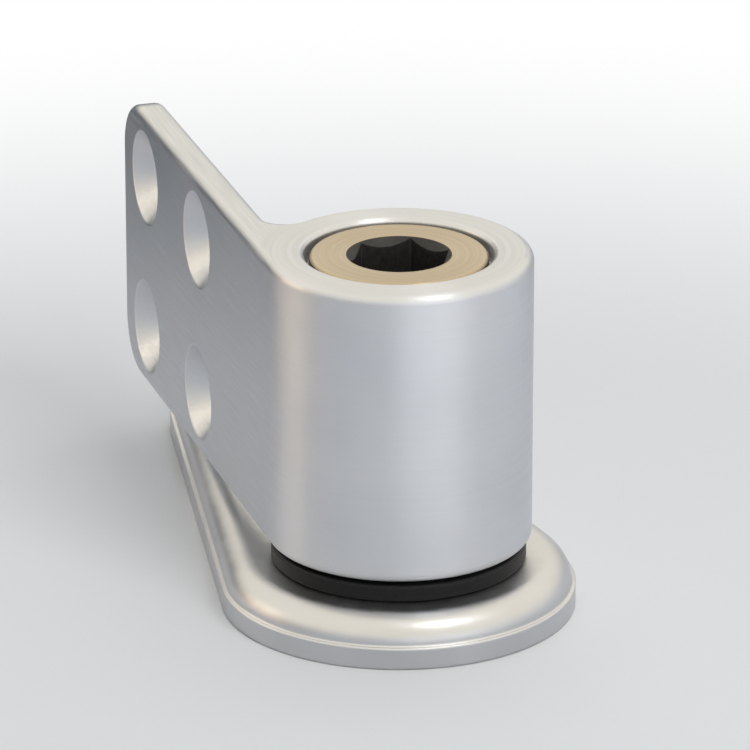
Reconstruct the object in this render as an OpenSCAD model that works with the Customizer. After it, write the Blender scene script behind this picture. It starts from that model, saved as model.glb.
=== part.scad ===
// Bottom pivot hinge for a flush door: a floor plate with an upright pin, and a barrel with a leaf that
// carries the door. The barrel turns on the pin and stands on a ball; a socket screw in its top lifts it.
// Origin on the pivot axis at the floor. X runs along the closed door, Y through the door, Z is up.

/* [Barrel] */
// Outside diameter of the barrel
barrel_d = 24; // [22:1:32]
// Height of the barrel and of the leaf
barrel_h = 27; // [25:1:40]
// Radius that breaks the outer edges of the barrel and the leaf
edge_r = 0.8; // [0.4:0.1:1.2]

/* [Leaf] */
// Thickness of the leaf that is screwed to the door's edge
leaf_t = 3; // [2.5:0.25:4]
// Reach of the leaf behind the pivot axis
leaf_len = 50; // [44:1:70]
// Corner radius at the free end of the leaf
leaf_corner_r = 5; // [3:0.5:8]
// Radius of the inside fillet between the leaf and the barrel
leaf_fillet_r = 2; // [1:0.25:2.5]
// Bore for one leaf screw
leaf_hole_d = 5; // [4:0.25:5.5]
// Head diameter of a leaf screw's countersink
leaf_head_d = 9; // [8:0.25:10]
// Spacing of the leaf screws along the leaf
leaf_hole_pitch_y = 18; // [12:1:20]
// Spacing of the leaf screws up the leaf
leaf_hole_pitch_z = 15; // [12:0.5:15]
// Distance of the last leaf screws from the free end
leaf_hole_edge = 8; // [7:0.5:12]

/* [Floor plate] */
// Thickness of the floor plate
plate_t = 4.5; // [4:0.25:8]
// Ledge of the round front of the plate outside the barrel
plate_margin = 4; // [3:0.5:8]
// Radius of the plate's narrow back end
plate_end_r = 9; // [8:0.5:12]
// Distance from the pivot axis to the centre of the back end
plate_end_y = 44; // [40:1:60]
// Height of the upright foot of the plate's edge
plate_foot_h = 2; // [1.5:0.25:2.5]
// Width of the fine ledge on top of the foot
plate_ledge = 0.35; // [0.2:0.05:0.6]
// Bore for one floor screw
floor_hole_d = 5; // [4:0.25:5.5]
// Head diameter of a floor screw's countersink
floor_head_d = 10; // [9:0.25:11]
// Distance from the pivot axis to the first floor screw
floor_hole_y = 24; // [22:0.5:28]
// Spacing of the two floor screws
floor_hole_pitch = 20; // [14:0.5:22]

/* [Pivot] */
// Diameter of the pivot pin
pin_d = 10; // [8:0.5:10]
// Step from the pin to the spigot that is pressed into the plate
pin_step = 0.5; // [0.25:0.25:1]
// Depth of the spigot's seat in the plate
seat_depth = 3; // [2.5:0.25:3]
// Thread diameter of the screw that holds the pin from below
pin_screw_d = 5; // [4:0.5:5]
// Length of that screw
pin_screw_len = 11; // [9:0.5:13]
// Diameter of the steel ball on top of the pin
ball_d = 6; // [5:0.5:6.5]
// Open height between the pin and the thrust cup, where the ball shows
ball_gap = 2; // [1.5:0.25:2.5]
// Metal of the thrust cup above the ball
cup_roof = 1.2; // [0.8:0.1:2]

/* [Bushes] */
// Wall of each bush
bush_wall = 2; // [1.5:0.25:2]
// Length of each bush
bush_len = 5; // [3:0.5:6]
// Thickness of the lower bush's flange
flange_t = 1; // [0.75:0.25:1.5]
// Width of the lower bush's flange
flange_w = 1.5; // [1:0.25:2]

/* [Washer] */
// Thickness of the black sliding washer
washer_t = 1.6; // [1.2:0.1:2.5]
// Wall of the boss that the washer lies round
boss_wall = 2; // [1.5:0.25:2.5]
// Distance that the washer's rim stays inside the barrel's
washer_inset = 0.5; // [0.25:0.25:1]
// Radius that softens the washer's outer edges
washer_edge_r = 0.3; // [0.2:0.05:0.5]

/* [Height adjuster] */
// Thread diameter of the adjusting screw
screw_d = 16; // [15:0.5:17]
// Length of the adjusting screw
screw_len = 7; // [6:0.5:9]
// Width across flats of its hexagon socket
hex_af = 8; // [6:0.5:9]
// Depth of its hexagon socket
hex_depth = 4.2; // [3.5:0.1:4.5]
// Width of the bevel round the mouth of the socket, past the hexagon's flats
socket_lead = 0.7; // [0.7:0.1:1.1]
// Depth at which the screw sits below the barrel's top
screw_sink = 0.3; // [0.3:0.1:2]
// Width of the counterbore's open ring round the screw
recess_ring = 0.5; // [0.4:0.1:1]
// Depth of the counterbore in the barrel's top
recess_depth = 2; // [1:0.1:2.5]
// Bevel round the mouth of the counterbore
recess_lead = 0.3; // [0.2:0.1:0.5]
// Diameter of the nylon locking pellet
pellet_d = 2; // [1.5:0.25:2]
// Length of the nylon locking pellet
pellet_len = 3; // [2:0.25:4]
// Furthest lift of the barrel
lift_up = 3; // [2:0.5:4]

/* [Clearances] */
// Radial running clearance of the pin in its bushes
pin_fit = 0.05; // [0.02:0.01:0.08]
// Radial clearance of the adjusting screw in the barrel
screw_fit = 0.05; // [0.02:0.01:0.08]
// Radial clearance of the ball in its two seats
ball_fit = 0.03; // [0.01:0.01:0.05]
// Space that lets the barrel down towards the washer
lower_gap = 0.4; // [0.3:0.1:1]
// Easy clearance between pieces that never bear on each other
easy_gap = 0.3; // [0.2:0.1:0.5]
// Play between the countersunk head and the plate's underside
head_sink = 0.2; // [0.1:0.1:0.4]

/* [Hidden] */
$fn = 96;
hexagon = 6;
// Spare length that lets a cutter pass right through a face
through = 1;

// Radii that follow from the diameters
barrel_r = barrel_d / 2;
pin_r = pin_d / 2;
ball_r = ball_d / 2;
spigot_r = pin_r - pin_step;
boss_r = pin_r + boss_wall;
bush_r = pin_r + pin_fit + bush_wall;
flange_r = bush_r + flange_w;
screw_r = screw_d / 2;
tapped_r = screw_r + screw_fit;
recess_r = screw_r + recess_ring;

// The upper bush is pressed against a shoulder that covers a third of its wall
shoulder = bush_wall / 3;
throat_r = bush_r - shoulder;
throat_h = 1.2;
// The thrust cup passes through the throat above the shoulder
cup_r = throat_r - easy_gap;

// Heights, from the floor up to the barrel and from the barrel's top down to the pin
plate_r = barrel_r + plate_margin;
boss_top = plate_t + washer_t;
barrel_z = boss_top + lower_gap;
barrel_top = barrel_z + barrel_h;
screw_z = barrel_top - screw_sink - screw_len;
cup_dome = (ball_d - ball_gap) / 2;
cup_h = cup_dome + cup_roof;
cup_z = screw_z - cup_h;
pin_top = cup_z - ball_gap;
ball_z = cup_z - ball_gap / 2;
flange_z = barrel_z + lower_gap / 2;
upper_bush_top = cup_z - lift_up - easy_gap;
throat_top = upper_bush_top + throat_h;
seat_z = boss_top - seat_depth;

// A countersunk head is 1.8 times as wide as its thread. Its sides, and those of all countersinks, stand
// at 45 degrees, so a cone is as deep as its radius grows.
head_ratio = 1.8;
pin_head_r = head_ratio * pin_screw_d / 2;

// Angle by which each side of the floor plate runs in towards the back
taper = asin((plate_r - plate_end_r) / plate_end_y);
// The plate's plain core and its rounded edge lap by this much
core_lap = 1;
// Distance from the plate's edge to its plain core
plate_core = plate_t - plate_foot_h + plate_ledge + core_lap;
// The tongue's edges lie this far inside the round ends, and lap this far into them
seam_skin = 0.01;
seam_lap = 0.3;

// A quarter-round edge over an upright foot, as the floor plate has all round.
// reach is the distance to the foot's face, from inner outwards.
module plate_edge(inner, reach) {
    round_r = plate_t - plate_foot_h;
    crown = reach - plate_ledge - round_r;
    translate([inner, 0]) square([reach - inner, plate_foot_h]);
    translate([inner, 0]) square([crown - inner, plate_t]);
    intersection() {
        translate([crown, plate_foot_h]) circle(round_r);
        translate([inner, 0]) square([reach - inner, plate_t]);
    }
}

// A section that reaches out from the axis, with its two outer corners rounded
module rounded_rim(reach, thickness, round_r) {
    square([reach - round_r, thickness]);
    translate([0, round_r]) square([reach, thickness - 2 * round_r]);
    for (y = [round_r, thickness - round_r])
        translate([reach - round_r, y]) circle(round_r);
}

// The diameter of the circle through the corners of a hexagon
function across_corners(flats) = flats / cos(30);

// A countersunk screw hole down from the top of a wall of thickness wall_t
module countersunk_hole(hole_d, head_d, wall_t) {
    cone_h = (head_d - hole_d) / 2;
    translate([0, 0, -through]) cylinder(d = hole_d, h = wall_t + 2 * through);
    translate([0, 0, wall_t - cone_h]) cylinder(d1 = hole_d, d2 = head_d, h = cone_h);
    translate([0, 0, wall_t]) cylinder(d = head_d, h = through);
}

// The rounded edge along one side of the plate's tapering tongue. It lies a hair inside the two round
// ends and runs a little way into them, so that the three blend without a sliver.
module tongue_edge() {
    run = plate_end_y * cos(taper);
    rotate([0, 0, taper]) translate([0, run + seam_lap, 0]) rotate([90, 0, 0])
        linear_extrude(run + 2 * seam_lap)
            plate_edge(plate_r - plate_core - core_lap, plate_r - seam_skin);
}

// The plate without its holes: a round front, a round back end and the tapering tongue between them
module plate_body() {
    front = plate_r - plate_core;
    back = plate_end_r - plate_core;
    side = [cos(taper), sin(taper)];
    other = [-side.x, side.y];
    end = [0, plate_end_y];
    rotate_extrude() plate_edge(0, plate_r);
    translate(end) rotate_extrude() plate_edge(0, plate_end_r);
    linear_extrude(plate_t)
        polygon([front * side, end + back * side, end + back * other, front * other]);
    tongue_edge();
    mirror([1, 0, 0]) tongue_edge();
}

module floor_plate() {
    color("#cdd0d4") difference() {
        union() {
            plate_body();
            cylinder(r = boss_r, h = boss_top);
        }
        translate([0, 0, seat_z]) cylinder(r = spigot_r, h = seat_depth + through);
        mirror([0, 0, 1]) translate([0, 0, -seat_z])
            countersunk_hole(pin_screw_d, 2 * (pin_head_r + head_sink), seat_z);
        for (i = [0, 1])
            translate([0, floor_hole_y + i * floor_hole_pitch, 0])
                countersunk_hole(floor_hole_d, floor_head_d, plate_t);
    }
}

module pivot_pin() {
    tip = 0.6;
    color("#b9bcc2") difference() {
        union() {
            translate([0, 0, seat_z]) cylinder(r = spigot_r, h = seat_depth);
            translate([0, 0, boss_top]) cylinder(r = pin_r, h = pin_top - tip - boss_top);
            translate([0, 0, pin_top - tip]) cylinder(r1 = pin_r, r2 = pin_r - tip, h = tip);
        }
        translate([0, 0, ball_z]) sphere(ball_r + ball_fit);
        translate([0, 0, seat_z - through]) cylinder(d = pin_screw_d, h = pin_screw_len + through);
    }
}

module pin_screw() {
    socket_af = 3;
    socket_depth = 1.6;
    head_h = pin_head_r - pin_screw_d / 2;
    color("#8d9095") difference() {
        union() {
            translate([0, 0, head_sink])
                cylinder(r1 = pin_head_r, d2 = pin_screw_d, h = head_h);
            translate([0, 0, head_sink + head_h]) cylinder(d = pin_screw_d, h = pin_screw_len - head_h);
        }
        translate([0, 0, head_sink - through])
            cylinder(d = across_corners(socket_af), h = socket_depth + through, $fn = hexagon);
    }
}

module sliding_washer() {
    rim = barrel_r - washer_inset;
    color("#161617") translate([0, 0, plate_t]) difference() {
        rotate_extrude() rounded_rim(rim, washer_t, washer_edge_r);
        translate([0, 0, -through]) cylinder(r = boss_r + easy_gap / 2, h = washer_t + 2 * through);
    }
}

module steel_ball() {
    color("#dfe1e4") translate([0, 0, ball_z]) sphere(ball_r);
}

module thrust_cup() {
    color("#a8abb0") difference() {
        translate([0, 0, cup_z]) cylinder(r = cup_r, h = cup_h);
        translate([0, 0, ball_z]) sphere(ball_r + ball_fit);
    }
}

// The barrel's outer form, turned, with both edges rounded
module barrel() {
    translate([0, 0, barrel_z]) rotate_extrude() rounded_rim(barrel_r, barrel_h, edge_r);
}

// The leaf stands tangent to the barrel: a straight run, a free end and two round corners
module leaf() {
    run = leaf_len - leaf_corner_r;
    mid_z = barrel_z + barrel_h / 2;
    translate([-barrel_r, 0, mid_z]) {
        for (s = [0, 1])
            mirror([0, 0, s]) rotate([-90, -90, 0])
                linear_extrude(run) rounded_rim(barrel_h / 2, leaf_t, edge_r);
        for (s = [0, 1])
            mirror([0, 0, s]) translate([leaf_t, run, 0]) rotate([0, 0, 90])
                linear_extrude(barrel_h / 2 - leaf_corner_r)
                    rounded_rim(leaf_corner_r, leaf_t, edge_r);
        for (s = [0, 1])
            mirror([0, 0, s]) translate([0, run, barrel_h / 2 - leaf_corner_r]) rotate([90, 0, 90])
                rotate_extrude(angle = 90) rounded_rim(leaf_corner_r, leaf_t, edge_r);
    }
}

// The fillet that runs up the inside corner between the leaf and the barrel. It is a wedge between the two,
// hollowed by a cutter whose flared ends carry the rounded edge of the leaf round to the barrel's.
module leaf_fillet() {
    cx = -(barrel_r - leaf_t - leaf_fillet_r);
    cy = sqrt(pow(barrel_r + leaf_fillet_r, 2) - cx * cx);
    inside = -(barrel_r - leaf_t / 2);
    flare = leaf_fillet_r + edge_r;
    translate([0, 0, barrel_z]) difference() {
        linear_extrude(barrel_h) polygon([[inside, 0], [inside, cy], [cx, cy], [0, 0]]);
        translate([cx, cy, 0]) rotate_extrude() difference() {
            translate([0, -through]) square([flare, barrel_h + 2 * through]);
            translate([flare + edge_r, 0]) mirror([1, 0]) rounded_rim(2 * edge_r, barrel_h, edge_r);
        }
    }
}

module hinge_body() {
    color("#c3c7cf") difference() {
        union() {
            barrel();
            leaf();
            leaf_fillet();
        }
        translate([0, 0, barrel_z - through])
            cylinder(r = flange_r, h = flange_z + flange_t - barrel_z + through);
        translate([0, 0, barrel_z]) cylinder(r = bush_r, h = upper_bush_top - barrel_z);
        translate([0, 0, barrel_z]) cylinder(r = throat_r, h = barrel_h);
        translate([0, 0, throat_top]) cylinder(r = tapped_r, h = barrel_h);
        translate([0, 0, barrel_top - recess_depth]) cylinder(r = recess_r, h = recess_depth + through);
        translate([0, 0, barrel_top - recess_lead])
            cylinder(r1 = recess_r, r2 = recess_r + recess_lead, h = recess_lead);
        for (i = [0, 1], j = [-0.5, 0.5])
            translate([leaf_t - barrel_r, leaf_len - leaf_hole_edge - i * leaf_hole_pitch_y,
                barrel_z + barrel_h / 2 + j * leaf_hole_pitch_z])
                rotate([0, -90, 0]) countersunk_hole(leaf_hole_d, leaf_head_d, leaf_t);
    }
}

// A plain sleeve that runs on the pin
module bush(z) {
    translate([0, 0, z]) difference() {
        cylinder(r = bush_r, h = bush_len);
        translate([0, 0, -through]) cylinder(r = pin_r + pin_fit, h = bush_len + 2 * through);
    }
}

module lower_bush() {
    color("#b98f55") {
        bush(flange_z);
        translate([0, 0, flange_z]) difference() {
            cylinder(r = flange_r, h = flange_t);
            translate([0, 0, -through]) cylinder(r = pin_r + pin_fit, h = flange_t + 2 * through);
        }
    }
}

module upper_bush() {
    color("#b98f55") bush(upper_bush_top - bush_len);
}

// The pellet lies in a cross hole of the screw, below its socket
module pellet_place() {
    translate([screw_r - pellet_len, 0, screw_z + (screw_len - hex_depth) / 2]) rotate([0, 90, 0])
        children();
}

module adjusting_screw() {
    end = 0.5;
    flat_r = hex_af / 2;
    color("#c6b89c") difference() {
        translate([0, 0, screw_z]) {
            cylinder(r1 = screw_r - end, r2 = screw_r, h = end);
            translate([0, 0, end]) cylinder(r = screw_r, h = screw_len - 2 * end);
            translate([0, 0, screw_len - end]) cylinder(r1 = screw_r, r2 = screw_r - end, h = end);
        }
        translate([0, 0, screw_z + screw_len]) {
            translate([0, 0, -hex_depth])
                cylinder(d = across_corners(hex_af), h = hex_depth + through, $fn = hexagon);
            translate([0, 0, -socket_lead]) cylinder(r1 = flat_r, r2 = flat_r + socket_lead, h = socket_lead);
        }
        pellet_place() cylinder(d = pellet_d, h = pellet_len + through);
    }
}

module locking_pellet() {
    color("#3f6fb0") intersection() {
        pellet_place() cylinder(d = pellet_d, h = pellet_len + through);
        translate([0, 0, screw_z]) cylinder(r = screw_r, h = screw_len);
    }
}

floor_plate();
pivot_pin();
pin_screw();
sliding_washer();
steel_ball();
thrust_cup();
hinge_body();
lower_bush();
upper_bush();
adjusting_screw();
locking_pellet();
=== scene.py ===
# Bottom pivot hinge for a flush door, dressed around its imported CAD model.
# The plate on the floor carries an upright pin; the barrel with its leaf turns on the pin.
import math

import bmesh
import bpy
from mathutils import Matrix, Vector


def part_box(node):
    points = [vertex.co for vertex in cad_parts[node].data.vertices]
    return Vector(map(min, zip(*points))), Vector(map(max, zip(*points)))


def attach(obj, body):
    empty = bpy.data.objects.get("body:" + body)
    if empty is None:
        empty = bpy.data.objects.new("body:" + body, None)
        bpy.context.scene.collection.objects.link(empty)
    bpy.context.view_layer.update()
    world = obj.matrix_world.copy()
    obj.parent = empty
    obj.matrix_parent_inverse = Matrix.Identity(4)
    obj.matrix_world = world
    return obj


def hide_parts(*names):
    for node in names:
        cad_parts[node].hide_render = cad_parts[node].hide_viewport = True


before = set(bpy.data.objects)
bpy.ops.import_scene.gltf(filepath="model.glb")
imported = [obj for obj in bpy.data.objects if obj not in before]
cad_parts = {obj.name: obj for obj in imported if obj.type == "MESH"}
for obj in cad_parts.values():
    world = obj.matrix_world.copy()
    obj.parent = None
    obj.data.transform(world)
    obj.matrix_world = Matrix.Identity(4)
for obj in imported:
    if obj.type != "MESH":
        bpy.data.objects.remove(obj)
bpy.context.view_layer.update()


# Floor plate. A stainless casting with a round front and a tapering tongue, tumbled until its edges
# are soft and bright. Two countersunk screws hold the tongue to the floor under the door.
class Finish:
    """A surface finish: one material, whose shader nodes are added one by one."""

    def __init__(self, name, metallic):
        self.material = bpy.data.materials.new(name)
        self.material.use_nodes = True
        self.tree = self.material.node_tree
        self.shader = self.tree.nodes["Principled BSDF"]
        self.shader.inputs["Metallic"].default_value = metallic
        self.place = self.node("TexCoord").outputs["Object"]

    def feed(self, socket, value):
        """Gives a socket a number, a colour or the output of another node."""
        if isinstance(value, bpy.types.NodeSocket):
            self.tree.links.new(value, socket)
        else:
            socket.default_value = value

    def node(self, kind, inputs=None, **settings):
        made = self.tree.nodes.new("ShaderNode" + kind)
        for key, value in settings.items():
            setattr(made, key, value)
        for key, value in (inputs or {}).items():
            self.feed(made.inputs[key], value)
        return made

    def noise(self, scale, detail=3.0, place=None):
        inputs = {"Vector": place or self.place, "Scale": scale, "Detail": detail}
        return self.node("TexNoise", inputs).outputs["Fac"]

    def stretched(self, scales, detail=3.0):
        """Noise whose grain has its own scale along each axis."""
        place = self.node("Mapping", {"Vector": self.place, "Scale": scales}).outputs[0]
        return self.noise(1.0, detail, place)

    def ranged(self, value, low, high, to_low=0.0, to_high=1.0):
        """Stretches low..high to to_low..to_high and clamps what lies outside."""
        inputs = {"Value": value, "From Min": low, "From Max": high}
        inputs.update({"To Min": to_low, "To Max": to_high})
        return self.node("MapRange", inputs).outputs["Result"]

    def maths(self, operation, a, b):
        return self.node("Math", {0: a, 1: b}, operation=operation).outputs[0]

    def vectors(self, operation, a, b, output="Vector"):
        return self.node("VectorMath", {0: a, 1: b}, operation=operation).outputs[output]

    def mixed(self, share, a, b):
        return self.node("Mix", {"Factor": share, 2: a, 3: b}).outputs[0]

    def tinted(self, share, dark, light):
        """A colour between two others, each a tuple or a socket."""
        inputs = {"Factor": share}
        inputs[6] = dark if isinstance(dark, bpy.types.NodeSocket) else (*dark, 1.0)
        inputs[7] = light if isinstance(light, bpy.types.NodeSocket) else (*light, 1.0)
        return self.node("Mix", inputs, data_type="RGBA").outputs[2]

    def radius(self):
        """Distance from the pivot axis."""
        flat = self.vectors("MULTIPLY", self.place, (1.0, 1.0, 0.0))
        return self.vectors("LENGTH", flat, (0.0, 0.0, 0.0), "Value")

    def soft_edges(self, round_r):
        """The surface's normal with its sharp edges eased, and how near an edge each point is."""
        eased = self.node("Bevel", {"Radius": round_r}, samples=6).outputs[0]
        flat = self.node("NewGeometry").outputs["Normal"]
        along = self.vectors("DOT_PRODUCT", eased, flat, "Value")
        return eased, self.ranged(along, 0.995, 0.86)

    def bumped(self, height, depth, normal):
        inputs = {"Height": height, "Distance": depth, "Strength": 1.0, "Normal": normal}
        return self.node("Bump", inputs).outputs[0]

    def finish(self, colour, roughness, normal):
        self.feed(self.shader.inputs["Base Color"], colour)
        self.feed(self.shader.inputs["Roughness"], roughness)
        self.feed(self.shader.inputs["Normal"], normal)
        return self.material


def brightened(colour, share):
    return tuple(min(1.0, part * share) for part in colour)


def dress(name, material):
    """Gives a CAD node its material."""
    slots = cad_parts[name].data.materials
    slots.clear()
    slots.append(material)


def tumbled_steel(name, colour, roughness):
    """Cast steel out of the tumbling drum: a faintly uneven skin, soft clouds and bright edges."""
    steel = Finish(name, 1.0)
    eased, edge = steel.soft_edges(0.00035)
    waves = steel.noise(700.0, 1.0)
    clouds = steel.noise(120.0, 4.0)
    tint = steel.tinted(clouds, brightened(colour, 0.90), brightened(colour, 1.07))
    tint = steel.tinted(edge, tint, brightened(colour, 1.25))
    gloss = steel.ranged(waves, 0.3, 0.7, roughness - 0.02, roughness + 0.03)
    gloss = steel.maths("ADD", gloss, steel.ranged(clouds, 0.3, 0.7, -0.02, 0.05))
    gloss = steel.mixed(edge, gloss, roughness - 0.04)
    return steel.finish(tint, gloss, steel.bumped(waves, 0.00002, eased))


dress("floor_plate", tumbled_steel("tumbled_casting", (0.56, 0.57, 0.59), 0.33))


# Sliding washer. A black acetal ring turned from rod, lying loose round the plate's boss.
# It keeps dirt off the pin and takes the barrel's weight if the ball ever fails.
acetal = Finish("turned_acetal", 0.0)
eased, edge = acetal.soft_edges(0.0002)
rings = acetal.node("CombineXYZ", {"X": acetal.radius(), "Y": 0.0, "Z": 0.0}).outputs[0]
turning = acetal.noise(7000.0, 2.0, rings)
specks = acetal.noise(1600.0, 4.0)
tint = acetal.tinted(specks, (0.005, 0.005, 0.006), (0.012, 0.012, 0.013))
tint = acetal.tinted(edge, tint, (0.030, 0.030, 0.032))
gloss = acetal.ranged(turning, 0.3, 0.7, 0.34, 0.52)
acetal.shader.inputs["Specular IOR Level"].default_value = 0.2
dress("sliding_washer", acetal.finish(tint, gloss, acetal.bumped(turning, 0.000012, eased)))


# Pivot pin and thrust cup. Both are hardened and ground all over; the pin is pressed into the plate
# and the cup lies on the ball, under the adjusting screw.
def turned_steel(name, colour, roughness, groove_depth, stretch=0.6, belt_from=None):
    """Metal with tool marks that run round the pivot axis. Where belt_from is given, the marks are
    straight and run along Y past that radius. The gloss is drawn out across the marks."""
    steel = Finish(name, 1.0)
    eased, edge = steel.soft_edges(0.0003)
    radius = steel.radius()
    axes = steel.node("SeparateXYZ", {0: steel.place}).outputs
    ring_place = steel.node("CombineXYZ", {"X": radius, "Y": axes["Z"], "Z": 0.0}).outputs[0]
    fine = steel.noise(9000.0, 2.0, ring_place)
    coarse = steel.noise(3200.0, 1.0, ring_place)
    marks = steel.mixed(0.5, fine, coarse)
    minus_y = steel.maths("MULTIPLY", axes["Y"], -1.0)
    round_axis = steel.node("CombineXYZ", {"X": minus_y, "Y": axes["X"]}).outputs[0]
    groove = steel.vectors("NORMALIZE", round_axis, (0.0, 0.0, 0.0))
    if belt_from is not None:
        past = steel.ranged(radius, belt_from, belt_from + 0.0008)
        belt = steel.stretched((6000.0, 120.0, 6000.0))
        marks = steel.mixed(past, marks, belt)
        ways = {"Factor": past, 4: groove, 5: (0.0, -1.0, 0.0)}
        groove = steel.node("Mix", ways, data_type="VECTOR").outputs[1]
    # A little of Z keeps the way across the marks plain on faces that the marks run into end on
    groove = steel.vectors("ADD", groove, (0.0, 0.0, 0.02))
    in_world = steel.node(
        "VectorTransform", {0: groove},
        vector_type="VECTOR", convert_from="OBJECT", convert_to="WORLD",
    ).outputs[0]
    across = steel.vectors("CROSS_PRODUCT", eased, in_world)
    steel.feed(steel.shader.inputs["Tangent"], across)
    steel.shader.inputs["Anisotropic"].default_value = stretch

    clouds = steel.noise(110.0, 4.0)
    tint = steel.tinted(clouds, brightened(colour, 0.92), brightened(colour, 1.06))
    tint = steel.tinted(edge, tint, brightened(colour, 1.2))
    gloss = steel.ranged(marks, 0.35, 0.65, roughness - 0.07, roughness + 0.09)
    gloss = steel.maths("ADD", gloss, steel.ranged(clouds, 0.3, 0.7, -0.02, 0.04))
    gloss = steel.mixed(edge, gloss, roughness - 0.08)
    return steel.finish(tint, gloss, steel.bumped(marks, groove_depth, eased))


pin_steel = turned_steel("ground_pin", (0.56, 0.57, 0.59), 0.24, 0.000003)
dress("pivot_pin", pin_steel)
dress("thrust_cup", pin_steel)


# Pin screw. A countersunk socket screw with a bluish zinc plate, driven up into the pin from below.
# Its thread is rolled; its head lies just inside the plate's underside.
pin_screw_r = 0.0025
pin_thread_pitch = 0.0008
pin_thread_depth = 0.0005
pin_socket_width = 0.003
pin_socket_depth = 0.0016
round_sides = 96
over = 0.001
weld = 0.0000001


def thread_tree(name):
    """Geometry Nodes for an upright plug with a thread up its side, a plain collar under its face
    and a bevel at both ends."""
    tree = bpy.data.node_groups.new(name, "GeometryNodeTree")
    tree.interface.new_socket("Plug", in_out="OUTPUT", socket_type="NodeSocketGeometry")
    for label in ("Radius", "Height", "Foot", "Pitch", "Depth", "Collar", "Bevel"):
        tree.interface.new_socket(label, in_out="INPUT", socket_type="NodeSocketFloat")
    tree.interface.new_socket("Metal", in_out="INPUT", socket_type="NodeSocketMaterial")

    def node(kind, inputs=None, **settings):
        made = tree.nodes.new(kind)
        for key, value in settings.items():
            setattr(made, key, value)
        for key, value in (inputs or {}).items():
            if isinstance(value, bpy.types.NodeSocket):
                tree.links.new(value, made.inputs[key])
            else:
                made.inputs[key].default_value = value
        return made

    def maths(operation, a, b=0.0):
        return node("ShaderNodeMath", {0: a, 1: b}, operation=operation).outputs[0]

    given = node("NodeGroupInput").outputs
    sides, rows = 144, 112
    plug = node("GeometryNodeMeshCylinder", {
        "Vertices": sides, "Side Segments": rows, "Fill Segments": 1,
        "Radius": given["Radius"], "Depth": given["Height"],
    }).outputs["Mesh"]
    place = node("ShaderNodeSeparateXYZ", {0: node("GeometryNodeInputPosition").outputs[0]}).outputs
    half_height = maths("MULTIPLY", given["Height"], 0.5)
    angle = maths("ARCTAN2", place["Y"], place["X"])
    climbed = maths("DIVIDE", place["Z"], given["Pitch"])
    turns = maths("SUBTRACT", climbed, maths("DIVIDE", angle, math.tau))
    # A sharp wave with its crest and its root cut flat, as a rolled thread has
    flat_crest, flat_root = 0.07, 0.44
    wave = {"Value": maths("PINGPONG", turns, 0.5), "From Min": flat_crest, "From Max": flat_root}
    flank = node("ShaderNodeMapRange", wave).outputs[0]
    # Past the collar the thread runs out to its full depth at a slope of two in one
    to_face = maths("SUBTRACT", half_height, place["Z"])
    past_collar = maths("MAXIMUM", maths("SUBTRACT", to_face, given["Collar"]), 0.0)
    run_out = maths("MULTIPLY", past_collar, 2.0)
    cut = maths("MINIMUM", maths("MULTIPLY", flank, given["Depth"]), run_out)
    to_end = maths("SUBTRACT", half_height, maths("ABSOLUTE", place["Z"]))
    bevel = maths("MAXIMUM", maths("SUBTRACT", given["Bevel"], to_end), 0.0)
    inwards = maths("MAXIMUM", cut, bevel)
    radius = maths("SUBTRACT", given["Radius"], inwards)
    shrink = maths("DIVIDE", radius, given["Radius"])
    position = node("ShaderNodeCombineXYZ", {
        "X": maths("MULTIPLY", place["X"], shrink),
        "Y": maths("MULTIPLY", place["Y"], shrink),
        "Z": maths("ADD", place["Z"], maths("ADD", given["Foot"], half_height)),
    }).outputs[0]
    moved = {"Geometry": plug, "Position": position}
    cut_plug = node("GeometryNodeSetPosition", moved).outputs[0]
    real = node("GeometryNodeRealizeInstances", {0: cut_plug}).outputs[0]
    clad = {"Geometry": real, "Material": given["Metal"]}
    node("NodeGroupOutput", {0: node("GeometryNodeSetMaterial", clad).outputs[0]})
    return tree


def threaded_plug(name, tree, values):
    """The plain mesh that the thread tree gives for these values, as an object of its own."""
    holder = bpy.data.objects.new(name + "_holder", bpy.data.meshes.new(name + "_holder"))
    bpy.context.scene.collection.objects.link(holder)
    modifier = holder.modifiers.new("thread", "NODES")
    modifier.node_group = tree
    for item in tree.interface.items_tree:
        if item.in_out == "INPUT":
            modifier[item.identifier] = values[item.name]
    ready = holder.evaluated_get(bpy.context.evaluated_depsgraph_get())
    mesh = bpy.data.meshes.new_from_object(ready)
    bpy.data.objects.remove(holder)
    mesh.materials.clear()
    mesh.materials.append(values["Metal"])
    for face in mesh.polygons:
        face.material_index = 0
    piece = bpy.data.objects.new(name, mesh)
    bpy.context.scene.collection.objects.link(piece)
    return piece


def combine(piece, mesh, operation):
    """Adds a closed mesh to the piece, or cuts it away, and welds corners that meet. Its faces keep
    their own material."""
    other = bpy.data.objects.new("other", mesh)
    bpy.context.scene.collection.objects.link(other)
    join = piece.modifiers.new("join", "BOOLEAN")
    join.operation = operation
    join.solver = "EXACT"
    join.material_mode = "TRANSFER"
    join.object = other
    ready = piece.evaluated_get(bpy.context.evaluated_depsgraph_get())
    joined = bpy.data.meshes.new_from_object(ready)
    shape = bmesh.new()
    shape.from_mesh(joined)
    bmesh.ops.remove_doubles(shape, verts=shape.verts, dist=weld)
    shape.to_mesh(joined)
    shape.free()
    piece.modifiers.clear()
    piece.data = joined
    bpy.data.objects.remove(other)


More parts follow.
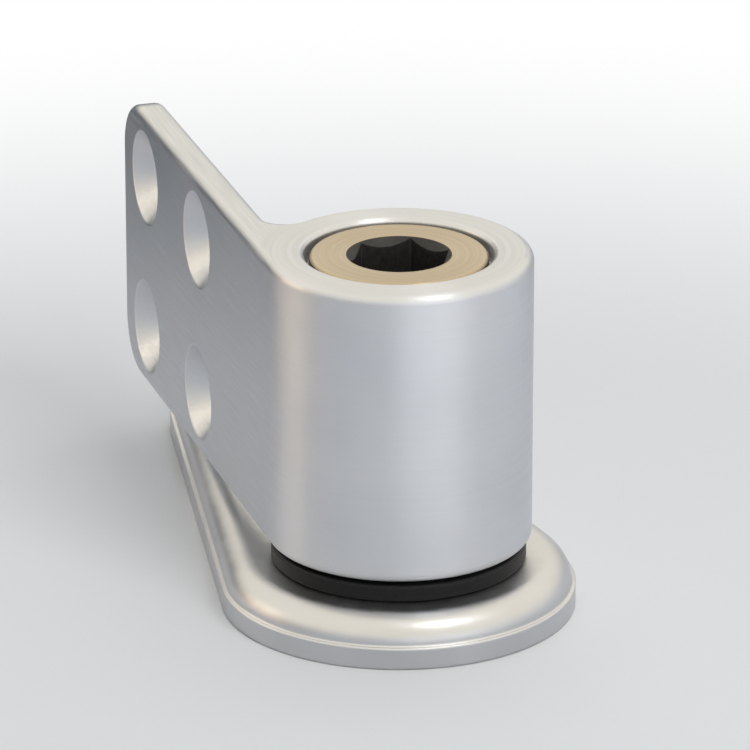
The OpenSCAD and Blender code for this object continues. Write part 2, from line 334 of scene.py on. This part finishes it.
def stacked_rings(name, sides, rings, material):
    """A closed upright mesh through rings of (radius, height), from the lowest to the highest."""
    corners, faces = [], []
    for radius, height in rings:
        for i in range(sides):
            angle = math.tau * i / sides
            corners.append((radius * math.cos(angle), radius * math.sin(angle), height))
    top_ring = (len(rings) - 1) * sides
    for low in range(0, top_ring, sides):
        high = low + sides
        for i in range(sides):
            j = (i + 1) % sides
            faces.append((low + i, low + j, high + j, high + i))
    faces.append(tuple(reversed(range(sides))))
    faces.append(tuple(top_ring + i for i in range(sides)))
    mesh = bpy.data.meshes.new(name)
    mesh.from_pydata(corners, [], faces)
    mesh.materials.append(material)
    return mesh


def hexagon_corner(width):
    """Distance of a hexagon's corners from its middle, from its width across flats."""
    return width / 2 / math.cos(math.pi / 6)


screw_steel = turned_steel("zinc_plate", (0.50, 0.52, 0.57), 0.34, 0.000006)
screw_low, screw_high = (Vector(corner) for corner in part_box("pin_screw"))
head_r = screw_high.x
head_height = head_r - pin_screw_r
# The shank starts inside the head, so that the two have no end face in common
inside_head = head_height / 3
rolled_thread = thread_tree("rolled_thread")
pin_screw = threaded_plug("pin_screw_threaded", rolled_thread, {
    "Radius": pin_screw_r, "Height": screw_high.z - screw_low.z - inside_head,
    "Foot": screw_low.z + inside_head, "Pitch": pin_thread_pitch, "Depth": pin_thread_depth,
    "Collar": 0.0, "Bevel": pin_thread_depth, "Metal": screw_steel,
})
head_rings = [(head_r, screw_low.z), (pin_screw_r, screw_low.z + head_height)]
combine(pin_screw, stacked_rings("pin_screw_head", round_sides, head_rings, screw_steel), "UNION")
corner_r = hexagon_corner(pin_socket_width)
socket_rings = [(corner_r, screw_low.z - over), (corner_r, screw_low.z + pin_socket_depth)]
combine(pin_screw, stacked_rings("pin_screw_socket", 6, socket_rings, screw_steel), "DIFFERENCE")
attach(pin_screw, "floor_side")
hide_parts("pin_screw")


# Steel ball. A bearing ball, lapped and polished, between the pin and the thrust cup.
# The whole door stands on it.
ball = Finish("lapped_ball", 1.0)
eased, edge = ball.soft_edges(0.0002)
haze = ball.noise(300.0, 4.0)
tint = ball.tinted(haze, (0.72, 0.73, 0.75), (0.80, 0.81, 0.83))
gloss = ball.ranged(haze, 0.3, 0.7, 0.08, 0.18)
dress("steel_ball", ball.finish(tint, gloss, ball.bumped(haze, 0.000002, eased)))


# Bushes. Two sleeves of sintered bronze, full of oil and pressed into the barrel.
# The lower one has a flange.
bronze = Finish("sintered_bronze", 1.0)
eased, edge = bronze.soft_edges(0.0002)
grains = bronze.noise(5200.0, 4.0)
pores = bronze.ranged(bronze.noise(3800.0, 2.0), 0.62, 0.70)
tint = bronze.tinted(grains, (0.44, 0.27, 0.10), (0.62, 0.42, 0.19))
tint = bronze.tinted(pores, tint, (0.10, 0.055, 0.02))
tint = bronze.tinted(edge, tint, (0.72, 0.52, 0.26))
gloss = bronze.ranged(grains, 0.3, 0.7, 0.36, 0.52)
skin = bronze.maths("SUBTRACT", grains, bronze.maths("MULTIPLY", pores, 2.0))
bush_bronze = bronze.finish(tint, gloss, bronze.bumped(skin, 0.00001, eased))
dress("lower_bush", bush_bronze)
dress("upper_bush", bush_bronze)


# Hinge body. Barrel and leaf are one stainless casting; the barrel is turned and the leaf is drawn
# over a belt along its length, and both are left satin. The leaf is screwed to the door's edge.
just_past_barrel = 0.01205
barrel_metal = turned_steel(
    "turned_and_belted", (0.60, 0.62, 0.66), 0.37, 0.000007, 0.8, just_past_barrel
)
dress("hinge_body", barrel_metal)


# Adjusting screw. A straw-coloured steel plug with a fine thread and a turned face. A key turns it
# and lifts the barrel. Its hexagon socket and the bevel round it keep the black scale of hardening.
thread_pitch = 0.0015
thread_depth = 0.0009
thread_collar = 0.0014
plug_bevel = 0.00025
hexagon_width = 0.008
socket_depth = 0.0042
socket_lead = 0.0007
plug_low, plug_high = (Vector(corner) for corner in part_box("adjusting_screw"))
plug_r = plug_high.x
plug_height = plug_high.z - plug_low.z
pellet_low, pellet_high = (Vector(corner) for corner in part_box("locking_pellet"))
pellet_r = pellet_high.y
pellet_height = (pellet_low.z + pellet_high.z) / 2
pellet_sides = 48

adjuster_steel = turned_steel("straw_plug", (0.44, 0.37, 0.27), 0.30, 0.000006, 0.6)
scale = Finish("hardening_scale", 0.0)
eased, edge = scale.soft_edges(0.0002)
crust = scale.noise(2400.0, 5.0)
tint = scale.tinted(crust, (0.006, 0.006, 0.007), (0.018, 0.016, 0.015))
tint = scale.tinted(edge, tint, (0.06, 0.055, 0.05))
gloss = scale.ranged(crust, 0.3, 0.7, 0.45, 0.65)
socket_scale = scale.finish(tint, gloss, scale.bumped(crust, 0.00002, eased))

adjuster = threaded_plug("adjusting_screw_threaded", rolled_thread, {
    "Radius": plug_r, "Height": plug_height, "Foot": plug_low.z, "Pitch": thread_pitch,
    "Depth": thread_depth, "Collar": thread_collar, "Bevel": plug_bevel, "Metal": adjuster_steel,
})
corner_r = hexagon_corner(hexagon_width)
socket_rings = [(corner_r, plug_high.z - socket_depth), (corner_r, plug_high.z + over)]
combine(adjuster, stacked_rings("adjuster_socket", 6, socket_rings, socket_scale), "DIFFERENCE")
flat_r = hexagon_width / 2
lead_rings = [(flat_r, plug_high.z - socket_lead), (flat_r + socket_lead, plug_high.z)]
lead_rings.append((flat_r + socket_lead, plug_high.z + over))
combine(adjuster, stacked_rings("adjuster_lead", round_sides, lead_rings, socket_scale), "DIFFERENCE")
pellet_rings = [(pellet_r, pellet_low.x), (pellet_r, plug_r + over)]
pellet_hole = stacked_rings("pellet_hole", pellet_sides, pellet_rings, adjuster_steel)
pellet_hole.transform(Matrix.Rotation(math.pi / 2, 4, "Y"))
pellet_hole.transform(Matrix.Translation((0.0, 0.0, pellet_height)))
combine(adjuster, pellet_hole, "DIFFERENCE")
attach(adjuster, "adjuster")
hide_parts("adjusting_screw")


# Locking pellet. A short piece of blue nylon rod pushed into a cross hole of the adjusting screw,
# where it drags on the thread so that the screw keeps its place.
nylon = Finish("nylon_rod", 0.0)
eased, edge = nylon.soft_edges(0.0001)
milky = nylon.noise(1500.0, 3.0)
tint = nylon.tinted(milky, (0.03, 0.12, 0.38), (0.05, 0.17, 0.48))
gloss = nylon.ranged(milky, 0.3, 0.7, 0.38, 0.5)
dress("locking_pellet", nylon.finish(tint, gloss, nylon.bumped(milky, 0.00001, eased)))


# Camera. It stands a little to the left of the hinge's front and looks down on the barrel's top, so
# that the socket, the leaf and the round front of the floor plate all show.
camera_turn = math.radians(-17)
camera_rise = math.radians(21)
camera_lens_mm = 320
camera_distance = 0.6027
camera_target = Vector((0.0001, 0.0076, 0.0189))
camera_right = Vector((math.cos(camera_turn), math.sin(camera_turn), 0.0))
camera_side = Vector((math.sin(camera_turn), -math.cos(camera_turn), 0.0))

camera_data = bpy.data.cameras.new("studio_camera")
camera_data.lens = camera_lens_mm
camera_data.clip_start = 0.01
camera = bpy.data.objects.new("studio_camera", camera_data)
bpy.context.scene.collection.objects.link(camera)
towards_camera = camera_side * math.cos(camera_rise) + Vector((0.0, 0.0, math.sin(camera_rise)))
camera.location = camera_target + towards_camera * camera_distance
camera.rotation_euler = towards_camera.to_track_quat("Z", "Y").to_euler()
bpy.context.scene.camera = camera
bpy.context.scene.view_settings.view_transform = "Standard"


# Studio light. A large soft lamp in front and one above light the floor and the plastic, and leave
# no gleam. A small high lamp and a low warm panel on the left are there for their gleam alone.
def soft_lamp(name, place, side, watts):
    data = bpy.data.lights.new(name, "AREA")
    data.shape = "SQUARE"
    data.size = side
    data.energy = watts
    lamp = bpy.data.objects.new(name, data)
    bpy.context.scene.collection.objects.link(lamp)
    lamp.location = place
    lamp.rotation_euler = (Vector(place) - camera_target).to_track_quat("Z", "Y").to_euler()
    return lamp


key_lamp = soft_lamp("key_lamp", (0.16, -0.63, 0.38), 0.42, 3.0)
key_lamp.visible_glossy = False
glint_lamp = soft_lamp("glint_lamp", (0.16, -0.30, 0.62), 0.20, 0.6)
glint_lamp.visible_diffuse = False
top_lamp = soft_lamp("top_lamp", (0.12, 0.22, 0.62), 0.60, 1.3)
top_lamp.visible_glossy = False
warm_panel = soft_lamp("warm_panel", (-0.40, 0.20, 0.08), 0.22, 0.15)
warm_panel.data.color = (1.0, 0.80, 0.60)
warm_panel.visible_diffuse = False


# The room round the hinge. It is white to look at. Metal mirrors it with a warm white ceiling, a
# bright front on the right, and a dark wall behind on the left, as the door's slot would stand there.
room = bpy.data.worlds.new("pale_room")
bpy.context.scene.world = room
room.use_nodes = True
room_tree = room.node_tree
room_tree.nodes.clear()


def room_node(kind, inputs=None, **settings):
    made = room_tree.nodes.new("ShaderNode" + kind)
    for key, value in settings.items():
        setattr(made, key, value)
    for key, value in (inputs or {}).items():
        if isinstance(value, bpy.types.NodeSocket):
            room_tree.links.new(value, made.inputs[key])
        else:
            made.inputs[key].default_value = value
    return made


def along(direction):
    """How far the ray's direction goes along another one."""
    ways = {0: gaze, 1: direction}
    return room_node("VectorMath", ways, operation="DOT_PRODUCT").outputs["Value"]


gaze = room_node("TexCoord").outputs["Generated"]
to_right, to_front = along(camera_right), along(camera_side)
turn = room_node("Math", {0: to_right, 1: to_front}, operation="ARCTAN2").outputs[0]
share = room_node("MapRange", {"Value": turn, "From Min": -math.pi, "From Max": math.pi}).outputs[0]
walls = room_node("ValToRGB", {"Fac": share})
ramp = walls.color_ramp
ramp.interpolation = "EASE"
panels = [
    (0.00, (0.18, 0.20, 0.23)),
    (0.12, (0.07, 0.09, 0.11)),
    (0.18, (0.50, 0.38, 0.27)),
    (0.27, (0.72, 0.57, 0.42)),
    (0.33, (0.50, 0.53, 0.58)),
    (0.46, (0.72, 0.75, 0.80)),
    (0.54, (1.45, 1.47, 1.52)),
    (0.61, (1.60, 1.60, 1.62)),
    (0.70, (1.00, 1.00, 1.02)),
    (0.80, (0.90, 0.91, 0.94)),
    (0.92, (0.50, 0.52, 0.55)),
]
ramp.elements.remove(ramp.elements[1])
ramp.elements[0].color = (*panels[0][1], 1.0)
for at, colour in panels[1:]:
    ramp.elements.new(at).color = (*colour, 1.0)
height = room_node("SeparateXYZ", {0: gaze}).outputs["Z"]
upwards = room_node("MapRange", {"Value": height, "From Min": 0.08, "From Max": 0.34}).outputs[0]
ceiling = (1.32, 1.23, 1.05, 1.0)
tones = {"Factor": upwards, 6: walls.outputs[0], 7: ceiling}
round_about = room_node("Mix", tones, data_type="RGBA").outputs[2]
rays = room_node("LightPath").outputs
mirrored = room_node("Background", {"Color": round_about, "Strength": 1.0}).outputs[0]
lit = room_node("Background", {"Color": (0.92, 0.95, 1.0, 1.0), "Strength": 0.40}).outputs[0]
seen = room_node("Background", {"Color": (1.0, 1.0, 1.0, 1.0), "Strength": 1.0}).outputs[0]
for_metal = room_node("MixShader", {"Fac": rays["Is Glossy Ray"], 1: lit, 2: mirrored}).outputs[0]
for_eyes = room_node("MixShader", {"Fac": rays["Is Camera Ray"], 1: for_metal, 2: seen}).outputs[0]
room_node("OutputWorld", {"Surface": for_eyes})


# Floor. A plain pale sheet under the hinge that holds its shadow. It fades out into white to the
# eye, so that no horizon shows, and into the room for light and for the metal.
floor_half = 0.7
floor_z = -0.00005
fade_from = 0.055
fade_to = 0.17
quarters = [(-1, -1), (1, -1), (1, 1), (-1, 1)]
corners = [(x * floor_half, y * floor_half, floor_z) for x, y in quarters]
floor_mesh = bpy.data.meshes.new("studio_floor")
floor_mesh.from_pydata(corners, [], [(0, 1, 2, 3)])
floor = bpy.data.objects.new("studio_floor", floor_mesh)
bpy.context.scene.collection.objects.link(floor)
paint = Finish("pale_floor", 0.0)
paint.shader.inputs["Base Color"].default_value = (0.80, 0.81, 0.82, 1.0)
paint.shader.inputs["Roughness"].default_value = 0.75
# The fade stops just short of its end, which would show as a faint ring
faded = paint.node("MapRange", {
    "Value": paint.radius(), "From Min": fade_from, "From Max": fade_to, "To Max": 0.995,
}, interpolation_type="SMOOTHSTEP").outputs["Result"]
clear = paint.node("BsdfTransparent").outputs[0]
white = paint.node("Emission", {"Color": (1.0, 1.0, 1.0, 1.0), "Strength": 1.0}).outputs[0]
looked_at = paint.node("LightPath").outputs["Is Camera Ray"]
beyond = paint.node("MixShader", {"Fac": looked_at, 1: clear, 2: white}).outputs[0]
both = paint.node("MixShader", {"Fac": faded, 1: paint.shader.outputs[0], 2: beyond}).outputs[0]
paint.feed(paint.tree.nodes["Material Output"].inputs["Surface"], both)
paint.material.cycles.emission_sampling = "NONE"
floor_mesh.materials.append(paint.material)
